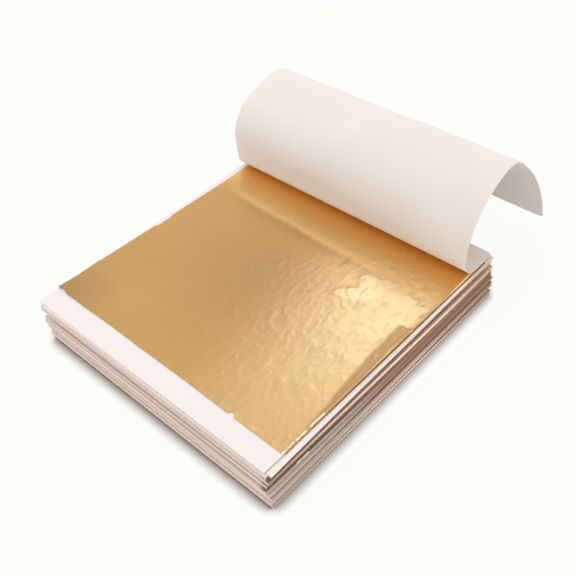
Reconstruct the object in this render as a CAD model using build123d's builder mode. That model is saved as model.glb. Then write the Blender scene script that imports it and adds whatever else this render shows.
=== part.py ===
from build123d import *

import os
from math import cos, radians, sin

# A booklet of 25 gold leaves between loose white pages, bound along its back edge, with the
# page over the top leaf turned back in a roll. Lengths are in millimetres, angles in degrees.
# X runs along the front edge, Y to the bound back edge, Z up. The origin is the middle of
# the underside of the backing sheet.

# Gold leaves, and the bare page round a leaf
leaf_side = 80.0
leaf_thickness = 0.02
leaf_front_margin = 6.4
leaf_back_margin = 3.0
leaf_left_margin = 1.5
leaf_right_margin = 0.5
leaf_stray = 0.25           # how far a leaf lies beside its place on the page

# Pages
page_thickness = 0.12
page_pitch = 0.51           # from one page to the next, with the leaf and the air between them
section_count = 5
pages_per_section = 5

# Unevenness of the pile
pile_lean = 1.35            # how far the top page lies to the left of the backing sheet
page_stray = 0.3            # how far a page lies beside its place
page_shortfall = 0.5        # how much the shortest page lacks at its front edge
stray_turn = 137.5          # degrees between one page's place in the stray's wave and the next

# Backing sheet
backing_thickness = 0.45

# Glue film along the bound edge, split where two sections part
glue_thickness = 0.4
glue_split = 0.03

# Page turned back over its own bound edge, in lengths that fold on lines across its bends
turned_page_clearance = 0.3
fold_gap = 0.07             # left open on each side of a fold line
corner_radius = 1.0

# The roll's four bends: how many degrees the page turns in each, and where the bend starts
# and ends at the page's left end, then at its right, as shares of the page's depth from the
# bound edge
foot_angle = 87.5
foot_shares = (0.107, 0.172, 0.078, 0.187)
wall_angle = 75.0
wall_shares = (0.248, 0.414, 0.188, 0.489)
crown_angle = 62.5
crown_shares = (0.491, 0.624, 0.493, 0.594)
tail_angle = 25.0
tail_shares = (0.675, 0.935, 0.636, 0.948)

page_width = leaf_left_margin + leaf_side + leaf_right_margin
page_depth = leaf_front_margin + leaf_side + leaf_back_margin
page_count = section_count * pages_per_section
pile_height = backing_thickness + page_count * page_pitch
section_height = pages_per_section * page_pitch
bound_edge = page_depth / 2

os.makedirs("parts", exist_ok=True)


def save(piece, name):
    """Labels a finished piece and writes it to its own file."""
    piece.part.label = name
    export_step(piece.part, f"parts/{name}.step")


def page_top(number):
    """Height of a page's upper face, with page 1 at the top of the pile."""
    return pile_height - (number - 1) * page_pitch


def stray_wave(number, turns=1):
    """An uneven but fixed sequence from -1 to 1."""
    return sin(radians(turns * number * stray_turn))


def lean_at(height):
    return -pile_lean * height / pile_height


def page_middle(number):
    """Where a page's middle lies along X."""
    return lean_at(page_top(number)) + page_stray * stray_wave(number)


def section_pages(section):
    """The numbers of a section's pages. Section 1 is the top one."""
    first = (section - 1) * pages_per_section + 1
    return range(first, first + pages_per_section)


def section_floor(section):
    """Height at which a section parts from the one below it."""
    return pile_height - section * section_height


def leaf_middle(number):
    """Where the leaf on a page has its middle, as X and Y."""
    from_right = page_middle(number) + page_width / 2 - leaf_right_margin
    from_front = -bound_edge + leaf_front_margin
    stray_x = leaf_stray * (stray_wave(number, turns=2) - 1) / 2
    stray_y = leaf_stray * stray_wave(number, turns=3)
    return from_right - leaf_side / 2 + stray_x, from_front + leaf_side / 2 + stray_y


# Backing sheet: one plain sheet of stiffer paper under the pile
with BuildPart() as backing:
    with BuildSketch(Plane.XY):
        Rectangle(page_width, page_depth)
    extrude(amount=backing_thickness)
save(backing, "backing_sheet")

# Pages: thin sheets, bound at the back edge and cut a little unevenly at the front
for number in range(1, page_count + 1):
    depth = page_depth - page_shortfall * (1 + stray_wave(number, turns=2)) / 2
    with BuildPart() as page:
        with BuildSketch(Plane.XY.offset(page_top(number) - page_thickness)):
            with Locations((page_middle(number), bound_edge - depth / 2)):
                Rectangle(page_width, depth)
        extrude(amount=page_thickness)
    save(page, f"page_{number:02d}")

# Gold leaves: square sheets, loose on their pages. The one on page 1 is exposed.
with BuildPart() as leaf:
    with BuildSketch(Plane.XY.offset(page_top(1))):
        with Locations(leaf_middle(1)):
            Rectangle(leaf_side, leaf_side)
    extrude(amount=leaf_thickness)
save(leaf, "exposed_leaf")

for section in range(1, section_count + 1):
    with BuildPart() as leaves:
        for number in section_pages(section):
            if number == 1:
                continue
            with BuildSketch(Plane.XY.offset(page_top(number))):
                with Locations(leaf_middle(number)):
                    Rectangle(leaf_side, leaf_side)
            extrude(amount=leaf_thickness)
    save(leaves, f"leaves_section_{section}")

# Glue film: a strip behind each section's bound edges, and one behind the turned page
turned_page_height = pile_height + leaf_thickness + turned_page_clearance
glue_width = page_width - pile_lean


def glue_strip(low, high):
    """A strip of the film between two heights, behind the bound edge."""
    with BuildPart() as strip:
        with BuildSketch(Plane.XY.offset(low)):
            with Locations((lean_at((low + high) / 2), bound_edge + glue_thickness / 2)):
                Rectangle(glue_width, glue_thickness)
        extrude(amount=high - low)
    return strip


for section in range(1, section_count):
    low = section_floor(section) + glue_split
    save(glue_strip(low, section_floor(section - 1)), f"spine_glue_section_{section}")
save(glue_strip(0, section_floor(section_count - 1)), f"spine_glue_section_{section_count}")
save(
    glue_strip(pile_height + glue_split, turned_page_height + page_thickness),
    "spine_glue_turned_page",
)


roll_bends = (
    (foot_angle, foot_shares),
    (wall_angle, wall_shares),
    (crown_angle, crown_shares),
    (tail_angle, tail_shares),
)
turned_left = lean_at(pile_height) - page_width / 2
turned_right = turned_left + page_width


def bend_span(shares, end):
    """Where a bend starts and stops at the page's left (0) or right (1) end."""
    return page_depth * shares[2 * end], page_depth * shares[2 * end + 1]


def roll_place(end, distance):
    """Y, Z and slope of the turned page's middle layer, at a distance from its bound edge."""
    y = bound_edge
    z = turned_page_height + page_thickness / 2
    slope = 0.0
    reached = 0.0
    for turn, shares in roll_bends:
        start, stop = bend_span(shares, end)
        run = min(start, distance) - reached
        y -= run * cos(slope)
        z += run * sin(slope)
        reached = min(start, distance)
        if distance <= start:
            break
        radius = (stop - start) / radians(turn)
        reached = min(stop, distance)
        next_slope = slope + (reached - start) / radius
        y -= radius * (sin(next_slope) - sin(slope))
        z -= radius * (cos(next_slope) - cos(slope))
        slope = next_slope
        if distance <= stop:
            break
    run = distance - reached
    return y - run * cos(slope), z + run * sin(slope), slope


def face_point(end, distance, side):
    """A point on the turned page's upper (1) or lower (-1) face, on its left or right end."""
    y, z, slope = roll_place(end, distance)
    rise = side * page_thickness / 2
    return y + rise * sin(slope), z + rise * cos(slope)


def length_stretches(number, end):
    """A length's straight and bent stretches: where each starts and stops, and if it bends."""
    stretches = []
    reached = 0.0
    if number > 0:
        start, stop = bend_span(roll_bends[number - 1][1], end)
        stretches.append(((start + stop) / 2 + fold_gap, stop, True))
        reached = stop
    if number == len(roll_bends):
        stretches.append((reached, page_depth, False))
        return stretches
    start, stop = bend_span(roll_bends[number][1], end)
    stretches.append((reached, start, False))
    stretches.append((start, (start + stop) / 2 - fold_gap, True))
    return stretches


def length_section(number, end):
    """The section of one length of the turned page, at its left or right end."""
    stretches = length_stretches(number, end)
    with BuildSketch(Plane.YZ.offset(turned_right if end else turned_left)) as section:
        with BuildLine():
            for first, last, bends in stretches:
                for side in (1, -1):
                    near, far = face_point(end, first, side), face_point(end, last, side)
                    if bends:
                        ThreePointArc(near, face_point(end, (first + last) / 2, side), far)
                    else:
                        Line(near, far)
            for distance in (stretches[0][0], stretches[-1][1]):
                Line(face_point(end, distance, 1), face_point(end, distance, -1))
        make_face()
    return section.sketch.face()


# Turned page: lengths of one sheet, which runs up from its bound edge, over and down behind
# the pile. Two lengths meet on a fold line in the middle of each bend.
length_names = ("bound_end", "front", "top", "back", "free_end")
for number, name in enumerate(length_names):
    with BuildPart() as length:
        loft([length_section(number, 0), length_section(number, 1)], ruled=True)
        if number == len(roll_bends):
            short_edges = edges().sort_by(SortBy.LENGTH)[:4]
            fillet(short_edges.sort_by(Axis.Y)[-2:], radius=corner_radius)
    save(length, f"turned_page_{name}")
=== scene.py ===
from functools import partial
from math import cos, pi, radians, sin, sqrt

import bmesh
import bpy
from mathutils import Matrix, Vector
from mathutils.noise import noise as smooth_noise


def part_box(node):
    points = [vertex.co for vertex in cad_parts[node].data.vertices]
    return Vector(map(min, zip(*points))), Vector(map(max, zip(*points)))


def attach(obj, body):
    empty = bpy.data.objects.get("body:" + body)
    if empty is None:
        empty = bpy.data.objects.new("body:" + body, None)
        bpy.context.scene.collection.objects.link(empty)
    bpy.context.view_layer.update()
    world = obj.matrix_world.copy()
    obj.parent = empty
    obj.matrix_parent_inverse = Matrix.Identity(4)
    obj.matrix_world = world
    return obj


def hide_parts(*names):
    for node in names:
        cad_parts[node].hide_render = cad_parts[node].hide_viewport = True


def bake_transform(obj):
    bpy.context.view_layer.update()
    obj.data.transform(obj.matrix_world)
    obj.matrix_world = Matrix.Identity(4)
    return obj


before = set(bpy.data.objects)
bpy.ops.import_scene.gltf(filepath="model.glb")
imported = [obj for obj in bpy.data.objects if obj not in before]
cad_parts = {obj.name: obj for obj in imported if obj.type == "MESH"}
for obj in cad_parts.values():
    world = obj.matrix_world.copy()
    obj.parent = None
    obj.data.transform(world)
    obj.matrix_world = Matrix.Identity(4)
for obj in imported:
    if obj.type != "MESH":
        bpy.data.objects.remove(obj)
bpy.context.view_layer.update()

mm = 0.001

# Backing sheet. The real one is a plain sheet of stiffer, darker paper under the pile. It is
# cut to the size of the pages and keeps them flat, and its edge shows as a dark line. Its
# colour is made darker still as painted shade, for the contact shadow at the pile's foot.
sheet_low, sheet_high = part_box("backing_sheet")
page_width = sheet_high.x - sheet_low.x
page_depth = sheet_high.y - sheet_low.y
bound_edge = sheet_high.y
# Dark paper, darkened further as painted shade for the contact shadow at the pile's foot
backing_colour_and_painted_shade = (0.36, 0.29, 0.25, 1)
backing_mottle_and_painted_shade = (0.31, 0.245, 0.21, 1)
backing_corner = 0.8 * mm
corner_segments = 4
paper_roughness = 0.75
fibre_scale = 2600.0
fibre_depth = 0.03 * mm
fibre_strength = 0.35


def add(tree, kind, inputs=None, **settings):
    """Adds a node to a tree, with its settings, and its inputs set or linked."""
    node = tree.nodes.new(kind)
    for name, value in settings.items():
        setattr(node, name, value)
    for name, value in (inputs or {}).items():
        socket = node.inputs[name]
        if isinstance(value, bpy.types.NodeSocket):
            tree.links.new(value, socket)
        else:
            socket.default_value = value
    return node


def clouds(tree, place, scale, detail, **more):
    """A soft noise pattern."""
    inputs = {"Vector": place, "Scale": scale, "Detail": detail, **more}
    return add(tree, "ShaderNodeTexNoise", inputs).outputs[0]


def mixed(tree, share, first, second):
    """A colour between two others, each given as a value or as a socket."""
    return add(tree, "ShaderNodeMix", {0: share, 6: first, 7: second}, data_type="RGBA").outputs[2]


def raise_surface(tree, node, height, depth, strength):
    """Raises the surface of a shader, or of another bump, by a pattern."""
    bump = add(tree, "ShaderNodeBump", {"Height": height, "Distance": depth, "Strength": strength})
    tree.links.new(bump.outputs[0], node.inputs["Normal"])


def finish_material(name, roughness, **sockets):
    """A new material, with its tree, its shader and a coordinate socket fixed to the piece."""
    material = bpy.data.materials.new(name)
    material.use_nodes = True
    tree = material.node_tree
    shader = tree.nodes["Principled BSDF"]
    shader.inputs["Roughness"].default_value = roughness
    for socket, value in sockets.items():
        shader.inputs[socket.replace("_", " ")].default_value = value
    place = add(tree, "ShaderNodeTexCoord").outputs["Object"]
    return material, tree, shader, place


def paper_material(name, colour, mottled_colour, cloud_scale=190.0):
    """Uncoated thin paper: a faint cloudy look-through and short fibres that raise the surface."""
    material, tree, shader, place = finish_material(name, paper_roughness)
    tone = mixed(tree, clouds(tree, place, cloud_scale, 3.0), mottled_colour, colour)
    tree.links.new(tone, shader.inputs["Base Color"])
    raise_surface(tree, shader, clouds(tree, place, fibre_scale, 4.0), fibre_depth, fibre_strength)
    return material


def piece_of(name, mesh, *materials):
    """A finished object at the origin, with its place in its mesh."""
    piece = bpy.data.objects.new(name, mesh)
    bpy.context.scene.collection.objects.link(piece)
    for material in materials:
        mesh.materials.append(material)
    return piece


backing_paper = paper_material("backing_paper", backing_colour_and_painted_shade, backing_mottle_and_painted_shade)
form = bmesh.new()
bmesh.ops.create_cube(form, size=1)
form.transform(Matrix.Diagonal((*(sheet_high - sheet_low), 1)))
form.transform(Matrix.Translation((sheet_low + sheet_high) / 2))
upright = [e for e in form.edges if abs(e.verts[0].co.z - e.verts[1].co.z) > mm / 10]
bmesh.ops.bevel(
    form, geom=upright, offset=backing_corner, segments=corner_segments, affect="EDGES", profile=0.5,
)
backing_mesh = bpy.data.meshes.new("backing_sheet_body")
form.to_mesh(backing_mesh)
form.free()
backing = piece_of("backing_sheet_paper", backing_mesh, backing_paper)
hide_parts("backing_sheet")
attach(backing, "section_5")

# Pages. The real ones are 25 loose sheets of thin white interleaf, glued at the back edge only,
# so towards the front they bunch together, gape and lie a little askew.
page_low, page_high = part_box("page_01")
page_top = page_high.z
page_thickness = page_high.z - page_low.z
pages_per_section = 5
section_count = 5
page_count = pages_per_section * section_count
sheet_cells = 60
cut_lip = 0.265 * mm
lip_growth = 2.2            # how soon the lip has its full height, away from the bound edge
cut_rim = 0.495             # past this share from the middle, a vertex is on a cut edge
wave_step = 7.7             # from one sheet's waves to the next, in the noise
bunched_weight = 0.012      # the height that a sheet takes inside a bunch


def calc(tree, operation, *values):
    """The output of a math node on sockets or numbers."""
    return add(tree, "ShaderNodeMath", dict(enumerate(values)), operation=operation).outputs[0]


def arithmetic(tree):
    """Four functions that add, take away, multiply and divide in one tree."""
    return [partial(calc, tree, kind) for kind in ("ADD", "SUBTRACT", "MULTIPLY", "DIVIDE")]


def pile_tree():
    """Sheets on a pile: wavy, each clear of the next, with only one section's sheets kept."""
    tree = bpy.data.node_groups.new("pile_of_sheets", "GeometryNodeTree")
    plus, minus, times, over = arithmetic(tree)
    named_inputs = {
        "Int": ("Sheets", "First Kept", "Last Kept"),
        "Float": (
            "Floor", "Top", "Thickness", "Least Pitch", "Raise", "Width", "Depth", "Front Edge",
            "Bound Edge", "Middle", "Lean", "Stray", "Shortfall", "Stray Turn", "Skew",
            "Second Sheet Skew", "Second Sheet Shift", "Lip", "Bulge", "Bunch Share", "Bunching",
            "Wave Length", "Seed",
        ),
        "Material": ("Face", "Edge"),
    }
    for kind, names in named_inputs.items():
        for name in names:
            tree.interface.new_socket(name, in_out="INPUT", socket_type=f"NodeSocket{kind}")
    tree.interface.new_socket("Geometry", in_out="OUTPUT", socket_type="NodeSocketGeometry")
    given = add(tree, "NodeGroupInput").outputs

    def numbered(geometry, name, domain):
        """The geometry with the number of each vertex or copy kept on it under a name."""
        index = add(tree, "GeometryNodeInputIndex").outputs[0]
        inputs = {"Geometry": geometry, "Name": name, "Value": index}
        kinds = {"data_type": "INT", "domain": domain}
        return add(tree, "GeometryNodeStoreNamedAttribute", inputs, **kinds).outputs[0]

    # One sheet as a thin box of fine cells, repeated at one place, each vertex with its spot
    sheet = add(tree, "GeometryNodeMeshCube", {
        "Size": (1, 1, 1), "Vertices X": sheet_cells + 1, "Vertices Y": sheet_cells + 1,
    })
    spotted = numbered(sheet.outputs[0], "spot", "POINT")
    line = add(tree, "GeometryNodeMeshLine", {"Count": given["Sheets"], "Offset": (0, 0, 0)})
    copies = add(tree, "GeometryNodeInstanceOnPoints", {"Points": line.outputs[0], "Instance": spotted})
    counted = numbered(copies.outputs[0], "sheet", "INSTANCE")
    stack = add(tree, "GeometryNodeRealizeInstances", {"Geometry": counted}).outputs[0]
    spot, order = [
        add(tree, "GeometryNodeInputNamedAttribute", {"Name": name}, data_type="INT").outputs[0]
        for name in ("spot", "sheet")
    ]
    number = minus(given["Sheets"], order)
    position = add(tree, "GeometryNodeInputPosition").outputs[0]
    place = add(tree, "ShaderNodeSeparateXYZ", {0: position}).outputs

    # Plan place before the sheet strays
    across = times(place[0], given["Width"])
    from_front = times(plus(place[1], 0.5), given["Depth"])
    plan_y = plus(given["Front Edge"], from_front)
    plan_x = plus(given["Middle"], across)
    from_bound = minus(given["Bound Edge"], plan_y)

    def added_up(value):
        """A value's sum over the sheets at one spot: up to each sheet, and over all of them."""
        inputs = {"Value": value, "Group ID": spot}
        sums = add(tree, "GeometryNodeAccumulateField", inputs, domain="POINT").outputs
        return sums["Leading"], sums["Total"]

    # Each sheet takes an uneven share of the pile's height, the more so the nearer to the front
    spread = calc(tree, "MINIMUM", over(from_bound, given["Wave Length"]), 1.0)
    sample = add(tree, "ShaderNodeCombineXYZ", {
        0: over(plan_x, given["Wave Length"]), 1: over(plan_y, given["Wave Length"]),
        2: plus(times(order, wave_step), given["Seed"]),
    })
    swing = times(minus(clouds(tree, sample.outputs[0], 1.0, 0.0), 0.5), given["Bunching"])
    bunch = calc(tree, "FLOOR", times(number, given["Bunch Share"]))
    next_bunch = calc(tree, "FLOOR", times(plus(number, 1.0), given["Bunch Share"]))
    parts_here = plus(minus(next_bunch, bunch), bunched_weight)
    weight = times(parts_here, calc(tree, "EXPONENT", times(swing, spread)))
    height = minus(given["Top"], given["Floor"])
    slack = minus(height, times(given["Sheets"], given["Least Pitch"]))
    share = over(times(slack, weight), added_up(weight)[1])
    climb = added_up(plus(given["Least Pitch"], share))[0]
    at_side = calc(tree, "GREATER_THAN", calc(tree, "ABSOLUTE", place[0]), cut_rim)
    at_cut = calc(tree, "MAXIMUM", at_side, calc(tree, "LESS_THAN", place[1], -cut_rim))
    lip_reach = calc(tree, "MINIMUM", times(spread, lip_growth), 1.0)
    lip = times(times(at_cut, given["Lip"]), lip_reach)
    from_middle = times(minus(place[2], 0.5), plus(given["Thickness"], lip))
    z = plus(plus(given["Floor"], plus(climb, given["Raise"])), from_middle)

    # Each sheet leans with the pile, strays sideways, falls short at the front and lies askew
    turn = times(bunch, given["Stray Turn"])
    lean = times(given["Lean"], over(plus(given["Floor"], climb), given["Top"]))
    stray = times(given["Stray"], calc(tree, "SINE", turn))
    second = calc(tree, "COMPARE", number, 2.0, 0.1)
    skew = times(given["Skew"], calc(tree, "SINE", times(turn, 3.0)))
    askew = plus(skew, times(given["Second Sheet Skew"], second))
    bulge = times(calc(tree, "SINE", times(over(climb, height), pi)), given["Bulge"])
    side = plus(stray, plus(bulge, times(second, given["Second Sheet Shift"])))
    x = plus(plus(plan_x, plus(lean, side)), times(askew, from_bound))
    short = times(given["Shortfall"], plus(calc(tree, "SINE", times(turn, 2.0)), 1.0))
    pulled = times(minus(times(short, 0.5), bulge), over(from_bound, given["Depth"]))
    y = plus(plus(plan_y, pulled), times(askew, across))
    position = add(tree, "ShaderNodeCombineXYZ", {0: x, 1: y, 2: z}).outputs[0]
    moved = add(tree, "GeometryNodeSetPosition", {"Geometry": stack, "Position": position}).outputs[0]

    # Only the sheets of one section stay
    before = calc(tree, "LESS_THAN", number, minus(given["First Kept"], 0.5))
    after = calc(tree, "GREATER_THAN", number, plus(given["Last Kept"], 0.5))
    outside = {"Geometry": moved, "Selection": plus(before, after)}
    plain = add(tree, "GeometryNodeDeleteGeometry", outside, domain="POINT").outputs[0]
    for name in ("spot", "sheet"):
        plain = add(tree, "GeometryNodeRemoveAttribute", {"Geometry": plain, "Name": name}).outputs[0]
    solid = add(tree, "GeometryNodeRealizeInstances", {"Geometry": plain}).outputs[0]
    normal = add(tree, "GeometryNodeInputNormal").outputs[0]
    facing = add(tree, "ShaderNodeSeparateXYZ", {0: normal}).outputs[2]
    is_edge = calc(tree, "LESS_THAN", calc(tree, "ABSOLUTE", facing), 0.5)
    faced = add(tree, "GeometryNodeSetMaterial", {"Geometry": solid, "Material": given["Face"]})
    edged = add(tree, "GeometryNodeSetMaterial", {
        "Geometry": faced.outputs[0], "Selection": is_edge, "Material": given["Edge"],
    })
    add(tree, "NodeGroupOutput", {0: edged.outputs[0]})
    return tree


pile_of_sheets = pile_tree()
pile_shape = {
    "Sheets": page_count, "Floor": sheet_high.z, "Top": page_top, "Least Pitch": 0.39 * mm,
    "Bound Edge": bound_edge, "Lean": -1.35 * mm, "Stray": 0.3 * mm, "Shortfall": 0.5 * mm,
    "Stray Turn": radians(137.5), "Skew": 0.003, "Second Sheet Skew": 0.012,
    "Second Sheet Shift": 0.6 * mm, "Bulge": 0.6 * mm, "Bunch Share": 0.46, "Bunching": 9.0,
    "Wave Length": 90 * mm, "Seed": 3.0,
}


def sheets_of_section(name, first, last, **sizes):
    """One section's sheets from the tree, as a plain mesh in its own object."""
    holder = piece_of(name, bpy.data.meshes.new(name))
    modifier = holder.modifiers.new("sheets", "NODES")
    modifier.node_group = pile_of_sheets
    given = {**pile_shape, **{key.replace("_", " "): value for key, value in sizes.items()}}
    given.update({"First Kept": first, "Last Kept": last})
    for socket in pile_of_sheets.interface.items_tree:
        if socket.in_out == "INPUT" and socket.name in given:
            modifier[socket.identifier] = given[socket.name]
    bpy.context.view_layer.update()
    evaluated = holder.evaluated_get(bpy.context.evaluated_depsgraph_get())
    mesh = bpy.data.meshes.new_from_object(evaluated)
    mesh.name = name
    mesh.materials.pop(index=0)
    holder.modifiers.remove(modifier)
    holder.data = mesh
    return holder


# The pages' tones, each pair from dark to pale or from the front to the back. The cut edges'
# tones are darker than the paper's face, as painted shade from the gaps between the sheets.
page_colour = (0.95, 0.90, 0.885, 1)
page_mottle = (0.93, 0.87, 0.855, 1)
edge_roughness = 0.8
white_edges = (0.74, 0.605, 0.53, 1), (0.83, 0.70, 0.62, 1)
# Painted shade and painted gold reflection on the right side's edges and the rims below the top pages
brown_edges_painted_shade = (0.35, 0.21, 0.135, 1), (0.88, 0.73, 0.64, 1)
brown_rim_painted_shade_tones = (0.38, 0.23, 0.155, 1), (0.90, 0.75, 0.66, 1)
# Painted shadow and gold reflection on the top page's right edge, under the leaf's lifted rim
top_rim_painted_shade_tones = (0.52, 0.36, 0.27, 1), (0.42, 0.24, 0.10, 1)
# Painted shade at the front and painted gold reflection further back, for the line beside the leaf
warm_line_painted_light_tones = (0.86, 0.68, 0.56, 1), (1.0, 0.72, 0.38, 1)
# Painted shade on the rims below the top pages, at the front
pink_rim_painted_shade = (0.82, 0.685, 0.615, 1)
# Painted shade for a dark gap between sheets high on the right side
painted_gap_shade_colour = (0.30, 0.17, 0.10, 1)
# Painted glints of bits of leaf on the right side near the front corner
painted_pile_glint_tone = (1.0, 0.90, 0.62, 1)

# How the noise is stretched from sheet to sheet, how much of it goes from dark to pale (its
# dark streaks partly painted shade between the sheets), and how much painted light or shade
# makes the paper lighter or darker in some places
edge_stretch = (14, 14, 900)
rim_stretch = (10, 10, 420)
rim_offset = (0, 0, 3.3)
white_contrast = 0.36, 0.64
brown_contrast = 0.40, 0.56
rim_contrast = 0.42, 0.56
front_light = 1.1
upper_front_light = 0.22
middle_front_light = -0.06
upper_brown_light = 0.35
brown_light_in_front = 0.84
brown_edge_light_at_back = 1.2
brown_rim_light_at_back = 1.3
gap_shade_strength = 0.8
speck_scale = 800.0
least_speck = 0.48

# Where in the pile the tones change. A band is a middle and how far it goes to each side, and
# a ramp is where a change starts and where it is complete.
upper_band = 9.5 * mm, 1.0 * mm
middle_band = 5.5 * mm, 1.1 * mm
gap_band = 11.4 * mm, 0.8 * mm
gap_ramp = -12 * mm, 12 * mm
speck_band = 7.5 * mm, 0.8 * mm
speck_stretch = -33.5 * mm, 2.6 * mm
lighter_ramp = -30 * mm, 10 * mm
top_rim_ramp = -30 * mm, -20 * mm
below_top_pages = 12.3 * mm, 11.9 * mm
front_rim_ramp = -42.6 * mm, -44 * mm
right_rim_ramp = 38.2 * mm, 39.4 * mm
warm_line_ramp = 38.5 * mm, 38.8 * mm
warm_tone_ramp = -28 * mm, -22 * mm
right_side = 38 * mm
second_page_top = 12.75 * mm
top_page_face = 13.1 * mm
leaf_front = -37.6 * mm


def ranged(tree, value, low, high, to_low=0.0, to_high=1.0, soft=False):
    """A value taken from one range to another and kept inside it."""
    marks = {"Value": value, "From Min": low, "From Max": high, "To Min": to_low, "To Max": to_high}
    kind = "SMOOTHSTEP" if soft else "LINEAR"
    return add(tree, "ShaderNodeMapRange", marks, interpolation_type=kind).outputs[0]


def sheet_tones(tree, place, stretch, offset=(0, 0, 0)):
    """A pattern that changes from sheet to sheet up the pile, and slowly along it."""
    layered = add(tree, "ShaderNodeMapping", {"Vector": place, "Location": offset, "Scale": stretch})
    return clouds(tree, layered.outputs[0], 1.0, 0.0)


def lit(tree, colour, light):
    """A colour made brighter or darker, as painted light or shade."""
    return add(tree, "ShaderNodeVectorMath", {0: colour, "Scale": light}, operation="SCALE").outputs[0]


def painted_gold_side_shade(tree, share, tones, front, height, at_back):
    """Painted shade and gold reflection by the gold's side, lighter towards the back and high in the
    pile.
    """
    upper = calc(tree, "COMPARE", height, *upper_band)
    to_back = ranged(tree, front, *lighter_ramp, brown_light_in_front, at_back)
    light = calc(tree, "MULTIPLY", to_back, calc(tree, "MULTIPLY_ADD", upper, upper_brown_light, 1.0))
    return lit(tree, mixed(tree, share, *tones), light)


def cut_edge_material():
    """Cut edges of stacked paper: a tone that changes from sheet to sheet, darker as painted shade
    between the sheets; at the right side, painted shade and gold reflection and painted glints.
    """
    material, tree, shader, place = finish_material("page_cut_edge", edge_roughness)
    across, front, height = add(tree, "ShaderNodeSeparateXYZ", {0: place}).outputs
    tones = sheet_tones(tree, place, edge_stretch)
    # Painted light and shade: bands up the pile made brighter or darker, the front edges brighter
    upper = calc(tree, "COMPARE", height, *upper_band)
    middle = calc(tree, "COMPARE", height, *middle_band)
    light = calc(tree, "MULTIPLY_ADD", middle, middle_front_light, front_light)
    light = calc(tree, "MULTIPLY_ADD", upper, upper_front_light, light)
    white = lit(tree, mixed(tree, ranged(tree, tones, *white_contrast), *white_edges), light)
    share = ranged(tree, tones, *brown_contrast)
    brown = painted_gold_side_shade(tree, share, brown_edges_painted_shade, front, height, brown_edge_light_at_back)
    # A band of painted shade for a dark gap between sheets, deeper towards the back
    gap_shade_depth = ranged(tree, front, *gap_ramp, 0.0, gap_shade_strength, soft=True)
    painted_gap_shade = calc(tree, "MULTIPLY", calc(tree, "COMPARE", height, *gap_band), gap_shade_depth)
    brown = mixed(tree, painted_gap_shade, brown, painted_gap_shade_colour)
    # Painted shadow and gold reflection on the top page's right edge
    top_rim = mixed(tree, ranged(tree, front, *top_rim_ramp), *top_rim_painted_shade_tones)
    brown = mixed(tree, calc(tree, "GREATER_THAN", height, second_page_top), brown, top_rim)
    # On the right side's outward faces, painted shade and gold reflection replace the pale tone
    normal = add(tree, "ShaderNodeNewGeometry").outputs["Normal"]
    facing = add(tree, "ShaderNodeSeparateXYZ", {0: normal}).outputs[0]
    at_right = calc(tree, "GREATER_THAN", across, right_side)
    beside_gold = calc(tree, "MULTIPLY", at_right, calc(tree, "GREATER_THAN", facing, 0.5))
    tone = mixed(tree, beside_gold, white, brown)
    # Painted glints where bits of hidden leaf stick out near the right front corner
    speckled = calc(tree, "GREATER_THAN", clouds(tree, place, speck_scale, 0.0), least_speck)
    in_height = calc(tree, "COMPARE", height, *speck_band)
    in_corner = calc(tree, "COMPARE", front, *speck_stretch)
    near_corner = calc(tree, "MULTIPLY", in_height, in_corner)
    painted_pile_glint = calc(tree, "MULTIPLY", calc(tree, "MULTIPLY", speckled, beside_gold), near_corner)
    tree.links.new(mixed(tree, painted_pile_glint, tone, painted_pile_glint_tone), shader.inputs["Base Color"])
    return material


def paint_rim_shade_and_reflection(material):
    """Below the top pages, the rims take painted shade: pinkish at the front, and at the right painted
    shade and gold reflection.

    The top page's own rim takes a painted line beside the leaf: painted shade at the front and a
    warm painted gold reflection further back."""
    tree = material.node_tree
    colour = tree.nodes["Principled BSDF"].inputs["Base Color"]
    tone = colour.links[0].from_socket
    place = add(tree, "ShaderNodeTexCoord").outputs["Object"]
    side, front, height = add(tree, "ShaderNodeSeparateXYZ", {0: place}).outputs
    # Painted shade on the rims below the top pages, with painted gold reflection at the right
    below = ranged(tree, height, *below_top_pages)
    near_front = calc(tree, "MULTIPLY", below, ranged(tree, front, *front_rim_ramp))
    tone = mixed(tree, near_front, tone, pink_rim_painted_shade)
    share = ranged(tree, sheet_tones(tree, place, rim_stretch, rim_offset), *rim_contrast)
    brown = painted_gold_side_shade(tree, share, brown_rim_painted_shade_tones, front, height, brown_rim_light_at_back)
    near_right = calc(tree, "MULTIPLY", below, ranged(tree, side, *right_rim_ramp))
    tone = mixed(tree, near_right, tone, brown)
    # A painted line on the top page beside the leaf's right edge: shade in front, gold reflection behind
    on_top = calc(tree, "GREATER_THAN", height, top_page_face)
    beside_leaf = calc(tree, "MULTIPLY", on_top, calc(tree, "GREATER_THAN", front, leaf_front))
    in_line = calc(tree, "MULTIPLY", beside_leaf, ranged(tree, side, *warm_line_ramp))
    warm_tone = mixed(tree, ranged(tree, front, *warm_tone_ramp), *warm_line_painted_light_tones)
    tree.links.new(mixed(tree, in_line, tone, warm_tone), colour)


page_paper = paper_material("interleaf_paper", page_colour, page_mottle)
paint_rim_shade_and_reflection(page_paper)
page_cut_edge = cut_edge_material()
for section in range(1, section_count + 1):
    first = (section - 1) * pages_per_section + 1
    last = first + pages_per_section - 1
    pages = sheets_of_section(
        f"pages_section_{section}", first, last,
        Width=page_width, Depth=page_depth, Front_Edge=-bound_edge, Middle=0.0,
        Thickness=page_thickness, Lip=cut_lip, Raise=0.0, Face=page_paper, Edge=page_cut_edge,
    )
    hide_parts(*[f"page_{number:02d}" for number in range(first, last + 1)])
    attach(pages, f"section_{section}")

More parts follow.
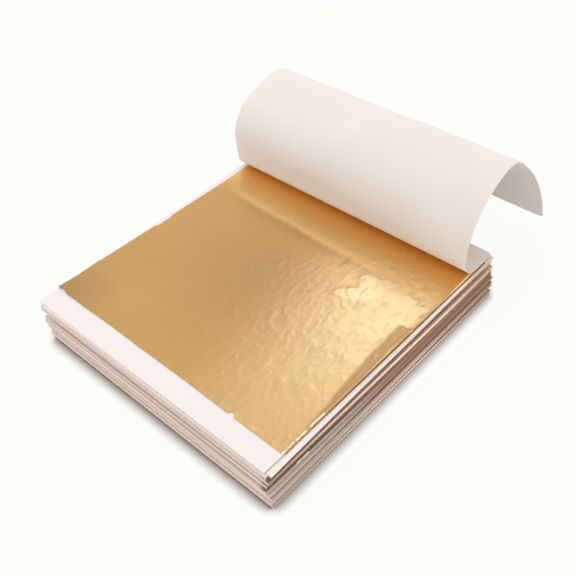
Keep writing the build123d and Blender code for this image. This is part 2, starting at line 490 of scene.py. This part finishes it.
# Hidden leaves. Each page but the top one carries a loose square of beaten gold, far thinner
# than its page, and its edges glint between the pages at the right side.
leaf_low, leaf_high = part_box("exposed_leaf")
leaf_side = leaf_high.x - leaf_low.x
leaf_thickness = leaf_high.z - leaf_low.z
leaf_front_margin = leaf_low.y + bound_edge
leaf_shift = (leaf_low.x + leaf_high.x) / 2 - (page_low.x + page_high.x) / 2
gold_colour = (0.56, 0.31, 0.10, 1)
light_gold_colour = (0.63, 0.37, 0.13, 1)
gold_cloud_scale = 60.0
crease_scale = 700.0
crease_depth = 0.05 * mm
crease_strength = 0.5


def thin_spots(tree, place):
    """The thicker and thinner places of a beaten leaf."""
    return clouds(tree, place, gold_cloud_scale, 4.0, Roughness=0.6)


def gold_material(name, roughness):
    """Beaten gold: soft metal whose fine creases and thin spots change its colour and gloss."""
    coat = {"Coat_Weight": 0.5, "Coat_Roughness": 0.3}
    material, tree, shader, place = finish_material(name, roughness, Metallic=1.0, **coat)
    tone = mixed(tree, thin_spots(tree, place), gold_colour, light_gold_colour)
    tree.links.new(tone, shader.inputs["Base Color"])
    creases = clouds(tree, place, crease_scale, 5.0, Distortion=0.6)
    raise_surface(tree, shader, creases, crease_depth, crease_strength)
    return material


hidden_gold = gold_material("hidden_gold", 0.35)
for section in range(1, section_count + 1):
    first = max((section - 1) * pages_per_section + 1, 2)
    last = section * pages_per_section
    leaves = sheets_of_section(
        f"hidden_leaves_{section}", first, last,
        Width=leaf_side, Depth=leaf_side, Front_Edge=-bound_edge + leaf_front_margin,
        Middle=leaf_shift, Second_Sheet_Shift=0.9 * mm, Second_Sheet_Skew=0.0,
        Thickness=leaf_thickness, Raise=leaf_thickness, Face=hidden_gold, Edge=hidden_gold,
    )
    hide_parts(f"leaves_section_{section}")
    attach(leaves, f"section_{section}")

# Exposed leaf. The real one is a single square of beaten gold that lies loose on the top page.
# It is smooth on the left, finely wrinkled on the right, bent along its right edge and torn in
# small notches at its edges.
leaf_cells = 200
cut_angle = radians(50)
wrinkle_height = 0.13 * mm
edge_lift = 0.12 * mm
curl_reach = 1.6 * mm
corner_lift = 0.5 * mm
corner_reach = 7 * mm
front_bend_height = 0.2 * mm
crinkle_height = 0.5 * mm
fine_raggedness = 0.05 * mm
raggedness = 0.16 * mm
left_flare = 1.7 * mm
flare_length = 60 * mm
wrinkle_sizes = (10 * mm, 0.22), (5 * mm, 0.3), (3 * mm, 0.28)

# Torn notches: the middle along the edge, half the width and the depth
left_bay = -1 * mm, 3.5 * mm, 0.45 * mm
right_bay = 9.2 * mm, 0.5 * mm, 0.7 * mm
front_bays = (23.4 * mm, 0.9 * mm, 0.8 * mm), (-39.0 * mm, 1.2 * mm, 0.5 * mm)

# The strip that is bent up at the right edge, and the outline of a pointed fold further in, with
# the open side where it fades out, its other sides, and those along the valley before it, where
# shade is painted
strip_start, strip_end = -27 * mm, 8.7 * mm
strip_slope = 0.12
pointed_fold = [(x * mm, y * mm) for x, y in (
    (15.2, 6.7), (16.4, 10.0), (19.9, 12.7), (17.6, 16.2), (18.2, 17.9), (25.6, 20.7),
    (28.4, 15.8), (25.2, 11.5), (23.1, 7.9), (21.1, 7.5), (18.2, 7.0),
)]
fold_sides = list(zip(pointed_fold, pointed_fold[1:] + pointed_fold[:1]))
open_side = fold_sides[5]
rim_sides = fold_sides[:5] + fold_sides[6:]
valley_sides = fold_sides[:4]


def smooth_step(low, high, value):
    """A share from 0 to 1 that starts and ends gently."""
    share = min(1.0, max(0.0, (value - low) / (high - low)))
    return share * share * (3 - 2 * share)


def leaf_bay(value, centre, half_width, depth):
    """How deep a torn notch bites at a place along an edge."""
    reach = max(0.0, 1 - abs(value - centre) / half_width)
    return depth * min(1.0, 2.5 * reach)


def leaf_edge(side, value):
    """How far the leaf's edge lies inside its square: at the left, the right, the front or the back."""
    ragged = fine_raggedness * smooth_noise(Vector((value * 500, side * 9.1, 0.0)))
    ragged += raggedness * smooth_noise(Vector((value * 60, side * 5.3, 4.0)))
    if side == 0:
        flare = left_flare * (1 - smooth_step(leaf_low.y, leaf_low.y + flare_length, value))
        return ragged - flare + leaf_bay(value, *left_bay)
    if side == 1:
        bow = (0.35 if value < 2 * mm else 0.9) * mm * ((value - 2 * mm) / (38 * mm)) ** 2 - 0.6 * mm
        return bow + ragged + leaf_bay(value, *right_bay)
    if side == 2:
        notched = ragged + leaf_bay(value, *front_bays[0]) + leaf_bay(value, *front_bays[1])
        return notched - 0.25 * mm * smooth_step(0, 0.03, value)
    return 0.2 * mm + ragged


def strip_waver(y):
    """How the bent strip's inner edge wavers along the leaf."""
    return 0.35 * mm * smooth_noise(Vector((y * 260, 0.0, 7.0)))


def bent_strip(y, from_right):
    """The rise of the strip that is bent up along the right edge, widest at its back end."""
    if y < strip_end:
        width = (1.9 + 2.2 * smooth_step(strip_start, strip_end, y)) * mm
        strength = smooth_step(strip_start - 3 * mm, strip_start, y)
    else:
        width = 1.7 * mm
        strength = 1 - smooth_step(16 * mm, 32 * mm, y)
    width += strip_waver(y)
    return strip_slope * strength * max(0.0, width - from_right)


def leaf_rise(x, y):
    """How high the loose leaf stands over the page at a place."""
    from_right = leaf_high.x - leaf_edge(1, y) - x
    from_front = y - leaf_low.y

    # Folded wrinkles of three sizes, more of them towards the right and the front
    wrinkled = 0.06 + 0.94 * smooth_step(-18 * mm, 24 * mm, x - 0.35 * y)
    rise = 0.0
    along, over = x + 0.5 * y, y - 0.5 * x
    for size, depth in wrinkle_sizes:
        fold = abs(smooth_noise(Vector((along / size, 0.62 * over / size, size * 900))))
        rise += depth * (1 - min(1.0, fold * 5.0)) ** 2
    rise *= wrinkle_height * wrinkled * smooth_step(0.0, 4 * mm, from_right)

    # The bent right strip, a bend in the front left, the lifted corner and the curled edges
    rise += bent_strip(y, from_right)
    front_bend = max(0.0, 1 - abs(x + 0.8 * y + 62 * mm) / (7 * mm))
    rise += front_bend_height * front_bend ** 2 * (1 - smooth_step(8 * mm, 24 * mm, from_front))
    to_corner = sqrt((x - leaf_low.x) ** 2 + (y - leaf_low.y) ** 2)
    rise += corner_lift * (1 - smooth_step(0.0, corner_reach, to_corner))
    to_edge = min(from_right + 0.5 * mm, from_front)
    curled = 1 - smooth_step(0.0, curl_reach, to_edge)
    rise += edge_lift * curled * (0.6 + 0.7 * smooth_noise(Vector((x * 160, y * 160, 2.0))))

    # The crinkled edge at the front of the right side
    at_rim = 1 - smooth_step(0.2 * mm, 0.8 * mm, from_right)
    crinkled = at_rim * (1 - smooth_step(-28 * mm, -24 * mm, y))
    rise += crinkle_height * crinkled * abs(smooth_noise(Vector((y * 420, 0.0, 9.0))))
    return max(0.0, rise)


def to_stretch(x, y, ends):
    """The distance from a place to a straight stretch between two corners."""
    (ax, ay), (bx, by) = ends
    along_x, along_y = bx - ax, by - ay
    share = ((x - ax) * along_x + (y - ay) * along_y) / (along_x ** 2 + along_y ** 2)
    share = min(1.0, max(0.0, share))
    return sqrt((x - ax - share * along_x) ** 2 + (y - ay - share * along_y) ** 2)


def in_pointed_fold(x, y):
    """Whether a place lies inside the fold's outline."""
    crossings = 0
    for (ax, ay), (bx, by) in fold_sides:
        if (ay > y) != (by > y) and x < ax + (y - ay) / (by - ay) * (bx - ax):
            crossings += 1
    return crossings % 2 == 1


def painted_fold_light(x, y):
    """Over a half: painted highlight on the pointed fold and right rim; under: painted shade in bends."""
    from_right = leaf_high.x - leaf_edge(1, y) - x
    if strip_start - 10 * mm < y < strip_end and from_right < 5 * mm:
        if from_right < 0.2 * mm:
            return 0.75
        width = 4.2 * mm * smooth_step(strip_start - 18 * mm, strip_end - 6 * mm, y)
        bent = smooth_step(0.0, 1.0 * mm, width + strip_waver(y) - from_right)
        return 0.5 - 0.45 * bent * smooth_step(0.0, 0.6 * mm, strip_end - y)
    if not (12 * mm < x < 34 * mm and 2 * mm < y < 26 * mm):
        return 0.5
    if in_pointed_fold(x, y):
        to_rim = min(to_stretch(x, y, side) for side in rim_sides)
        to_open = to_stretch(x, y, open_side)
        return 0.5 + 0.5 * smooth_step(0.0, 0.8 * mm, to_rim) * smooth_step(0.0, 7 * mm, to_open)
    valley = min(to_stretch(x, y, side) for side in valley_sides)
    return 0.5 - 0.36 * (1 - smooth_step(0.0, 1.5 * mm, valley))


def smooth_mesh(name, points, faces):
    """A mesh with smooth faces and sharp cut edges."""
    mesh = bpy.data.meshes.new(name)
    mesh.from_pydata(points, [], faces)
    mesh.polygons.foreach_set("use_smooth", [True] * len(mesh.polygons))
    mesh.set_sharp_from_angle(angle=cut_angle)
    return mesh


def leaf_mesh():
    """The leaf as a thin closed sheet, on a grid that follows its torn edges."""
    count = leaf_cells + 1
    under = []
    for row in range(count):
        v = row / leaf_cells
        y0 = leaf_low.y + v * leaf_side
        left = leaf_low.x + leaf_edge(0, y0)
        right = leaf_high.x - leaf_edge(1, y0)
        for column in range(count):
            u = column / leaf_cells
            x0 = leaf_low.x + u * leaf_side
            front = leaf_low.y + leaf_edge(2, x0)
            back = leaf_high.y - leaf_edge(3, x0)
            x, y = left + u * (right - left), front + v * (back - front)
            under.append((x, y, leaf_low.z + leaf_rise(x, y)))
    over = [(x, y, z + leaf_thickness) for x, y, z in under]
    below = len(over)
    faces = []
    for row in range(leaf_cells):
        for column in range(leaf_cells):
            a = row * count + column
            faces.append((a, a + 1, a + count + 1, a + count))
            faces.append((below + a, below + a + count, below + a + count + 1, below + a + 1))
    rim = list(range(count)) + [row * count + leaf_cells for row in range(1, count)]
    rim += [leaf_cells * count + column for column in range(leaf_cells - 1, -1, -1)]
    rim += [row * count for row in range(leaf_cells - 1, 0, -1)]
    for here, there in zip(rim, rim[1:] + rim[:1]):
        faces.append((here, below + here, below + there, there))
    mesh = smooth_mesh("exposed_leaf_sheet", over + under, faces)
    # The painted highlight and shade of the fold and the bent strip, kept on the vertices
    gloss = mesh.attributes.new("painted_fold_light", "FLOAT", "POINT")
    gloss.data.foreach_set("value", [painted_fold_light(x, y) for x, y, _ in over + under])
    return mesh


# Painted reflections of what the leaf mirrors: a pale painted highlight at its right, painted shade
# in its middle and front left corner, a warm painted reflection of the roll beside it with a bright
# painted streak before it, and painted glints on its edge
painted_highlight_gold_colour = (0.80, 0.60, 0.33, 1)
painted_shade_gold_colour = (0.45, 0.26, 0.095, 1)
painted_roll_reflection_colour = (0.86, 0.49, 0.145, 1)
painted_streak_reflection_colour = (0.93, 0.60, 0.25, 1)
painted_fold_highlight_colour = (0.97, 0.76, 0.47, 1)
painted_edge_glint_colour = (1.0, 0.92, 0.62, 1)

# The round spots of painted highlight and painted shade: middle, reach, squash along the leaf,
# share and colour
painted_light_spots = (
    ((2 * mm, 4 * mm), 44 * mm, 1.0, 0.92, painted_shade_gold_colour),
    ((-40 * mm, -38 * mm), 18 * mm, 1.0, 0.9, painted_shade_gold_colour),
    ((33 * mm, 8 * mm), 38 * mm, 0.55, 0.8, painted_highlight_gold_colour),
    ((28 * mm, -34 * mm), 26 * mm, 1.0, 0.15, painted_highlight_gold_colour),
)
fold_highlight_share, valley_shade_share, streak_share = 0.42, 0.9, 0.9
roll_reflection_ramp = 18 * mm, 32 * mm
streak_begins = 19.2 * mm, 21.6 * mm
streak_fades = 28 * mm, 21.5 * mm
streak_inward = -38 * mm, -27 * mm
streak_waver = 2.4 * mm
glint_edge = 38.95 * mm
glint_front = -24 * mm
glint_waver = 0.3 * mm
dash_scale = 520.0
least_dash = 0.42
crumpled_ramp = -22 * mm, 22 * mm
least_crumpled = 0.04
fine_wrinkle_scale = 370.0
fine_wrinkle_depth = 0.22 * mm
fine_wrinkle_turn = radians(28)
fine_wrinkle_stretch = (1, 0.6, 1)


def paint_room_reflections(material):
    """Adds painted reflections of what the leaf mirrors, and the leaf's fine wrinkles, to a gold
    material.
    """
    tree = material.node_tree
    shader = tree.nodes["Principled BSDF"]
    tone = shader.inputs["Base Color"].links[0].from_socket
    creases = shader.inputs["Normal"].links[0].from_node
    plus, minus, times, _ = arithmetic(tree)
    place = add(tree, "ShaderNodeTexCoord").outputs["Object"]
    side, front, _ = add(tree, "ShaderNodeSeparateXYZ", {0: place}).outputs
    for (x, y), reach, squash, share, colour in painted_light_spots:
        along = times(minus(front, y), squash)
        offset = add(tree, "ShaderNodeCombineXYZ", {0: minus(side, x), 1: along}).outputs[0]
        away = add(tree, "ShaderNodeVectorMath", {0: offset}, operation="LENGTH").outputs["Value"]
        tone = mixed(tree, ranged(tree, away, 0.0, reach, share, 0.0, soft=True), tone, colour)
    # A warm painted reflection of the roll beside it
    tone = mixed(tree, ranged(tree, front, *roll_reflection_ramp, soft=True), tone, painted_roll_reflection_colour)

    # Painted highlight on the pointed fold and painted shade in the bent strip and valley, from the
    # numbers kept on the leaf's vertices
    fold = add(tree, "ShaderNodeAttribute", attribute_name="painted_fold_light").outputs["Fac"]
    tone = mixed(tree, ranged(tree, fold, 0.5, 1.0, 0.0, fold_highlight_share), tone, painted_fold_highlight_colour)
    tone = mixed(tree, ranged(tree, fold, 0.5, 0.0, 0.0, valley_shade_share), tone, painted_shade_gold_colour)

    # The painted streak, a reflection of the roll's bright upper part, before the roll's painted
    # reflection
    middle = minus(front, streak_waver / 2)
    wavering = calc(tree, "MULTIPLY_ADD", thin_spots(tree, place), streak_waver, middle)
    begun = ranged(tree, wavering, *streak_begins, soft=True)
    faded = ranged(tree, wavering, *streak_fades)
    inward = ranged(tree, side, *streak_inward, 0.0, streak_share, soft=True)
    tone = mixed(tree, times(times(begun, faded), inward), tone, painted_streak_reflection_colour)

    # Painted glints on the crinkled edge
    along_edge = {"W": times(front, dash_scale), "Scale": 1.0}
    dashed = add(tree, "ShaderNodeTexNoise", along_edge, noise_dimensions="1D").outputs[0]
    at_rim = calc(tree, "GREATER_THAN", side, plus(glint_edge, times(dashed, glint_waver)))
    near_corner = calc(tree, "LESS_THAN", front, glint_front)
    glint = times(times(at_rim, near_corner), calc(tree, "GREATER_THAN", dashed, least_dash))
    tree.links.new(mixed(tree, glint, tone, painted_edge_glint_colour), shader.inputs["Base Color"])

    # Fine wrinkles that fade towards the left
    to_right = minus(side, times(front, 0.35))
    crumpled = ranged(tree, to_right, *crumpled_ramp, least_crumpled, 1.0, soft=True)
    stretched = add(tree, "ShaderNodeMapping", {
        "Vector": place, "Rotation": (0, 0, fine_wrinkle_turn), "Scale": fine_wrinkle_stretch,
    })
    ridges = add(tree, "ShaderNodeTexNoise", {
        "Vector": stretched.outputs[0], "Scale": fine_wrinkle_scale, "Detail": 4.0, "Roughness": 0.6,
        "Distortion": 0.6,
    }, noise_type="RIDGED_MULTIFRACTAL")
    raise_surface(tree, creases, times(ridges.outputs[0], crumpled), fine_wrinkle_depth, 1.0)


exposed_gold = gold_material("exposed_gold", 0.33)
paint_room_reflections(exposed_gold)
leaf = piece_of("exposed_leaf_sheet", leaf_mesh(), exposed_gold)
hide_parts("exposed_leaf")
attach(leaf, "exposed_leaf")

# Glue film. A brushed film of flexible padding glue holds the pages' back edges. It is nearly
# clear when dry, and slightly rippled where the brush went along the edges.
glue_tones = (0.80, 0.75, 0.69, 1), (0.90, 0.87, 0.82, 1)
brush_stretch = (60, 300, 1900)
ripple_depth = 0.1 * mm
ripple_strength = 0.6
glue_film, glue_tree, glue_shader, glue_place = finish_material("glue_film", 0.35, Coat_Weight=0.3)
brush_place = add(glue_tree, "ShaderNodeMapping", {"Vector": glue_place, "Scale": brush_stretch})
brush_marks = clouds(glue_tree, brush_place.outputs[0], 1.0, 3.0)
glue_tree.links.new(mixed(glue_tree, brush_marks, *glue_tones), glue_shader.inputs["Base Color"])
raise_surface(glue_tree, glue_shader, brush_marks, ripple_depth, ripple_strength)
for name in [f"spine_glue_section_{n}" for n in range(1, section_count + 1)] + ["spine_glue_turned_page"]:
    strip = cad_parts[name]
    strip.data.materials.clear()
    strip.data.materials.append(glue_film)

# Turned page. The real one is the sheet that covered the top leaf. It is glued at its back edge
# and rolled up, over and down behind the pile, in one unbroken springy curl.
turned_low, turned_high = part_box("turned_page_top")
turned_left, turned_right = turned_low.x, turned_high.x
turned_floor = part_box("turned_page_bound_end")[0].z
free_corner = 1.6 * mm

# The foot, wall, crown and tail of the roll: how far the page turns there, and where the bend
# starts and ends as shares of the page's depth, at the left end and then at the right
roll_bends = (
    (radians(87.5), (0.107, 0.172, 0.078, 0.187)),
    (radians(75.0), (0.248, 0.414, 0.188, 0.489)),
    (radians(62.5), (0.491, 0.624, 0.493, 0.594)),
    (radians(25.0), (0.675, 0.935, 0.636, 0.948)),
)
# The roll's paper is a warmer copy of the interleaf paper with darker, coarser mottling: painted shade on
# the roll and the painted warm light that comes through its curl
rolled_colour_with_painted_light = (0.955, 0.885, 0.845, 1)
rolled_mottle_with_painted_light = (0.885, 0.81, 0.765, 1)
rolled_edge_colour = (0.96, 0.94, 0.93, 1)
rolled_edge_mottle = (0.94, 0.92, 0.91, 1)
roll_step = radians(3)
straight_step = 1.5 * mm
corner_step = 0.3 * mm
cells_across = 60
ripple_height = 0.25 * mm
ripple_size = 26 * mm, 22 * mm
ripple_ramp = 12 * mm, 26 * mm


def bend_span(shares, end):
    """Where a bend starts and stops at the page's left (0) or right (1) end."""
    return page_depth * shares[2 * end], page_depth * shares[2 * end + 1]


def roll_place(end, distance):
    """Y, Z and slope of the turned page's middle layer, at a distance from its bound edge."""
    y, z = bound_edge, turned_floor + page_thickness / 2
    slope, reached = 0.0, 0.0
    for turn, shares in roll_bends:
        start, stop = bend_span(shares, end)
        run = min(start, distance) - reached
        y -= run * cos(slope)
        z += run * sin(slope)
        reached = min(start, distance)
        if distance <= start:
            break
        radius = (stop - start) / turn
        reached = min(stop, distance)
        next_slope = slope + (reached - start) / radius
        y -= radius * (sin(next_slope) - sin(slope))
        z -= radius * (cos(next_slope) - cos(slope))
        slope = next_slope
        if distance <= stop:
            break
    run = distance - reached
    return y - run * cos(slope), z + run * sin(slope), slope


def middle_of_straight(number, end):
    """Where one length of the page hands over to the next: between two bends."""
    if number == 0:
        return 0.0
    if number == len(roll_bends):
        return page_depth
    stop = bend_span(roll_bends[number - 1][1], end)[1]
    start = bend_span(roll_bends[number][1], end)[0]
    return (stop + start) / 2


def length_rows(number):
    """The distances of a length's rows, as pairs for the left and right end."""
    turn, shares = roll_bends[number]
    stops = [
        [middle_of_straight(number, end), *bend_span(shares, end), middle_of_straight(number + 1, end)]
        for end in (0, 1)
    ]
    marks = []
    for part in range(3):
        reach = max(stops[end][part + 1] - stops[end][part] for end in (0, 1))
        at_free_end = number == len(roll_bends) - 1 and part == 2
        count = max(2, round(reach / (corner_step if at_free_end else straight_step)))
        if part == 1:
            count = max(count, round(turn / roll_step))
        for step in range(count):
            share = step / count
            marks.append(tuple(s[part] + share * (s[part + 1] - s[part]) for s in stops))
    marks.append((stops[0][3], stops[1][3]))
    return marks


def turned_page_mesh(number, name):
    """One length of the rolled page, as a thin closed sheet with a whole bend in it."""
    rows = length_rows(number)
    over, under = [], []
    for left_distance, right_distance in rows:
        left, right = roll_place(0, left_distance), roll_place(1, right_distance)
        to_end = page_depth - (left_distance + right_distance) / 2
        inset = 0.0
        if to_end < free_corner:
            inset = free_corner - sqrt(free_corner ** 2 - (free_corner - to_end) ** 2)
        for column in range(cells_across + 1):
            u = column / cells_across
            x = turned_left + inset + u * (turned_right - turned_left - 2 * inset)
            y, z, slope = [a + u * (b - a) for a, b in zip(left, right)]
            distance = left_distance + u * (right_distance - left_distance)
            wave = Vector((x / ripple_size[0], distance / ripple_size[1], 11.0))
            ripple = ripple_height * smooth_noise(wave) * smooth_step(*ripple_ramp, distance)
            for layer, side in ((over, 1), (under, -1)):
                rise = side * page_thickness / 2 + ripple
                layer.append((x, y + rise * sin(slope), z + rise * cos(slope)))
    count = cells_across + 1
    below = len(over)
    faces = []
    for row in range(len(rows) - 1):
        for column in range(cells_across):
            a = row * count + column
            faces.append((a, a + count, a + count + 1, a + 1))
            faces.append((below + a, below + a + 1, below + a + count + 1, below + a + count))
    last = (len(rows) - 1) * count
    rim = list(range(count)) + [row * count + cells_across for row in range(1, len(rows))]
    rim += [last + column for column in range(cells_across - 1, -1, -1)]
    rim += [row * count for row in range(len(rows) - 2, 0, -1)]
    for here, there in zip(rim, rim[1:] + rim[:1]):
        faces.append((here, there, below + there, below + here))
    mesh = smooth_mesh(name, over + under, faces)
    mesh.polygons.foreach_set("material_index", [0] * (len(faces) - len(rim)) + [1] * len(rim))
    return mesh


def bend_line(number, part):
    """The middle of a bend's first (0) or last (1) line, between the page's two ends."""
    places = [roll_place(end, bend_span(roll_bends[number][1], end)[part]) for end in (0, 1)]
    middle = (turned_left + turned_right) / 2
    return Vector((middle, (places[0][0] + places[1][0]) / 2, (places[0][1] + places[1][1]) / 2))


rolled_paper_with_painted_light = paper_material("rolled_paper_with_painted_light", rolled_colour_with_painted_light, rolled_mottle_with_painted_light, cloud_scale=70.0)
rolled_cut_edge = paper_material("rolled_cut_edge", rolled_edge_colour, rolled_edge_mottle)
lengths = {
    "turned_page_foot": ("turned_page_bound_end", "turned_page_front"),
    "turned_page_wall": ("turned_page_top",),
    "turned_page_crown": ("turned_page_back",),
    "turned_page_tail": ("turned_page_free_end",),
}
for number, (name, nodes) in enumerate(lengths.items()):
    length = piece_of(name, turned_page_mesh(number, name), rolled_paper_with_painted_light, rolled_cut_edge)
    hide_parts(*nodes)
    bend_line(number, 0)
    bend_line(number, 1)
    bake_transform(length)

# Table top and room. A plain white surface with a painted contact shadow, its glow darkened close
# to the booklet, over the faint real shadow it keeps, and even light from all round, dimmer low in
# front, with a soft lamp overhead and one low in front.
floor_colour = (0.93, 0.92, 0.90, 1)
floor_white = (0.985, 0.985, 0.965, 1)
painted_floor_shadow_colour = (0.36, 0.305, 0.275, 1)
floor_white_share = 0.96
shadow_reach = 4.5 * mm
shadow_ramp = 0.5, 0.86
floor_half = 3.0
floor_material, floor_tree, floor_shader, _ = finish_material(
    "pale_table", 0.9, Base_Color=floor_colour, Specular_IOR_Level=0.0,
)
# The painted contact shadow: the glow darkens where ambient occlusion finds the booklet close
nearness = add(floor_tree, "ShaderNodeAmbientOcclusion", {"Distance": shadow_reach}, samples=16)
openness = ranged(floor_tree, nearness.outputs["AO"], *shadow_ramp)
painted_shadow_tone = mixed(floor_tree, openness, painted_floor_shadow_colour, floor_white)
floor_glow_with_painted_shadow = add(floor_tree, "ShaderNodeEmission", {"Color": painted_shadow_tone, "Strength": 1.0})


def seen_or_mirrored(tree):
    """1 where the camera looks at a surface itself, in a mirror or through glass."""
    path = add(tree, "ShaderNodeLightPath").outputs
    mirrored = calc(tree, "MAXIMUM", path["Is Glossy Ray"], path["Is Transmission Ray"])
    return calc(tree, "MAXIMUM", path["Is Camera Ray"], mirrored)


white_share = calc(floor_tree, "MULTIPLY", seen_or_mirrored(floor_tree), floor_white_share)
floor_mix = add(floor_tree, "ShaderNodeMixShader", {
    0: white_share, 1: floor_shader.outputs[0], 2: floor_glow_with_painted_shadow.outputs[0],
})
floor_tree.links.new(floor_mix.outputs[0], floor_tree.nodes["Material Output"].inputs["Surface"])
floor_mesh = bpy.data.meshes.new("table_top")
corners = [(-1, -1), (1, -1), (1, 1), (-1, 1)]
floor_mesh.from_pydata([(x * floor_half, y * floor_half, 0) for x, y in corners], [], [(0, 1, 2, 3)])
floor = piece_of("table_top", floor_mesh, floor_material)

room_colour = (1.0, 0.995, 0.985, 1)
room_strength = 0.87
room_dimming = -0.29
front_ramp = 0.1, -0.6
low_ramp = 0.75, 0.3
world = bpy.data.worlds.new("soft_room")
bpy.context.scene.world = world
world.use_nodes = True
room = world.node_tree
background = room.nodes["Background"]
background.inputs["Color"].default_value = room_colour
background.inputs["Strength"].default_value = room_strength
direction = add(room, "ShaderNodeTexCoord").outputs["Generated"]
toward = add(room, "ShaderNodeSeparateXYZ", {0: direction}).outputs
in_front = ranged(room, toward[1], *front_ramp, soft=True)
low_down = ranged(room, toward[2], *low_ramp, soft=True)
dimmed = calc(room, "MULTIPLY", in_front, low_down)
room_light = calc(room, "MULTIPLY_ADD", dimmed, room_dimming, room_strength)
room.links.new(room_light, background.inputs["Strength"])
clear_white = add(room, "ShaderNodeBackground", {"Color": floor_white, "Strength": 1.0})
room_white = add(room, "ShaderNodeMixShader", {
    0: seen_or_mirrored(room), 1: background.outputs[0], 2: clear_white.outputs[0],
})
room.links.new(room_white.outputs[0], room.nodes["World Output"].inputs["Surface"])


def lamp(name, place, aim, width, strength):
    """A square soft lamp turned to a point of the booklet."""
    light = bpy.data.lights.new(name, "AREA")
    light.shape = "SQUARE"
    light.size = width
    light.energy = strength
    holder = bpy.data.objects.new(name, light)
    bpy.context.scene.collection.objects.link(holder)
    holder.location = place
    holder.rotation_mode = "QUATERNION"
    holder.rotation_quaternion = (Vector(aim) - Vector(place)).to_track_quat("-Z", "Y")


lamp("overhead_lamp", (-0.15, -0.15, 1.1), (0, 0, 0), width=0.6, strength=1.6)
lamp("low_lamp", (-0.35, -0.95, 0.42), (0, 0, 0.02), width=0.5, strength=0.6)

# Camera. It stands over the right front corner, as the photograph was taken, with the square
# frame's full width on a 36 mm sensor.
camera_place = Vector((115.96, -109.19, 166.23)) * mm
camera_forward = Vector((-0.50560, 0.50394, -0.70030))
camera_right = Vector((0.74002, 0.67060, -0.05170))
photo_side = 576
focal_pixels = 829.49
camera_data = bpy.data.cameras.new("photo_camera")
camera_data.sensor_width = 36
camera_data.lens = focal_pixels / photo_side * camera_data.sensor_width
camera_data.clip_start = 0.01
camera_data.clip_end = 10
camera = bpy.data.objects.new("photo_camera", camera_data)
bpy.context.scene.collection.objects.link(camera)
back = -camera_forward.normalized()
up = back.cross(camera_right).normalized()
turned = Matrix((up.cross(back), up, back)).transposed()
camera.matrix_world = Matrix.Translation(camera_place) @ turned.to_4x4()
bpy.context.scene.camera = camera

# Gloss lamp. A small soft lamp behind the booklet, where the camera's line of sight goes on
# after the right of the leaf mirrors it, so that the wrinkles there shine.
gloss_spot_pixel = (401, 299)
gloss_distance = 0.8
camera_down = camera_forward.cross(camera_right)
sight = camera_forward
sight = sight + camera_right * ((gloss_spot_pixel[0] - photo_side / 2) / focal_pixels)
sight = sight + camera_down * ((gloss_spot_pixel[1] - photo_side / 2) / focal_pixels)
gloss_spot = camera_place + sight * ((leaf_high.z - camera_place.z) / sight.z)
mirrored = Vector((sight.x, sight.y, -sight.z)).normalized()
lamp("gloss_lamp", gloss_spot + mirrored * gloss_distance, gloss_spot, width=0.16, strength=0.16)
bpy.context.scene.view_settings.view_transform = "Standard"
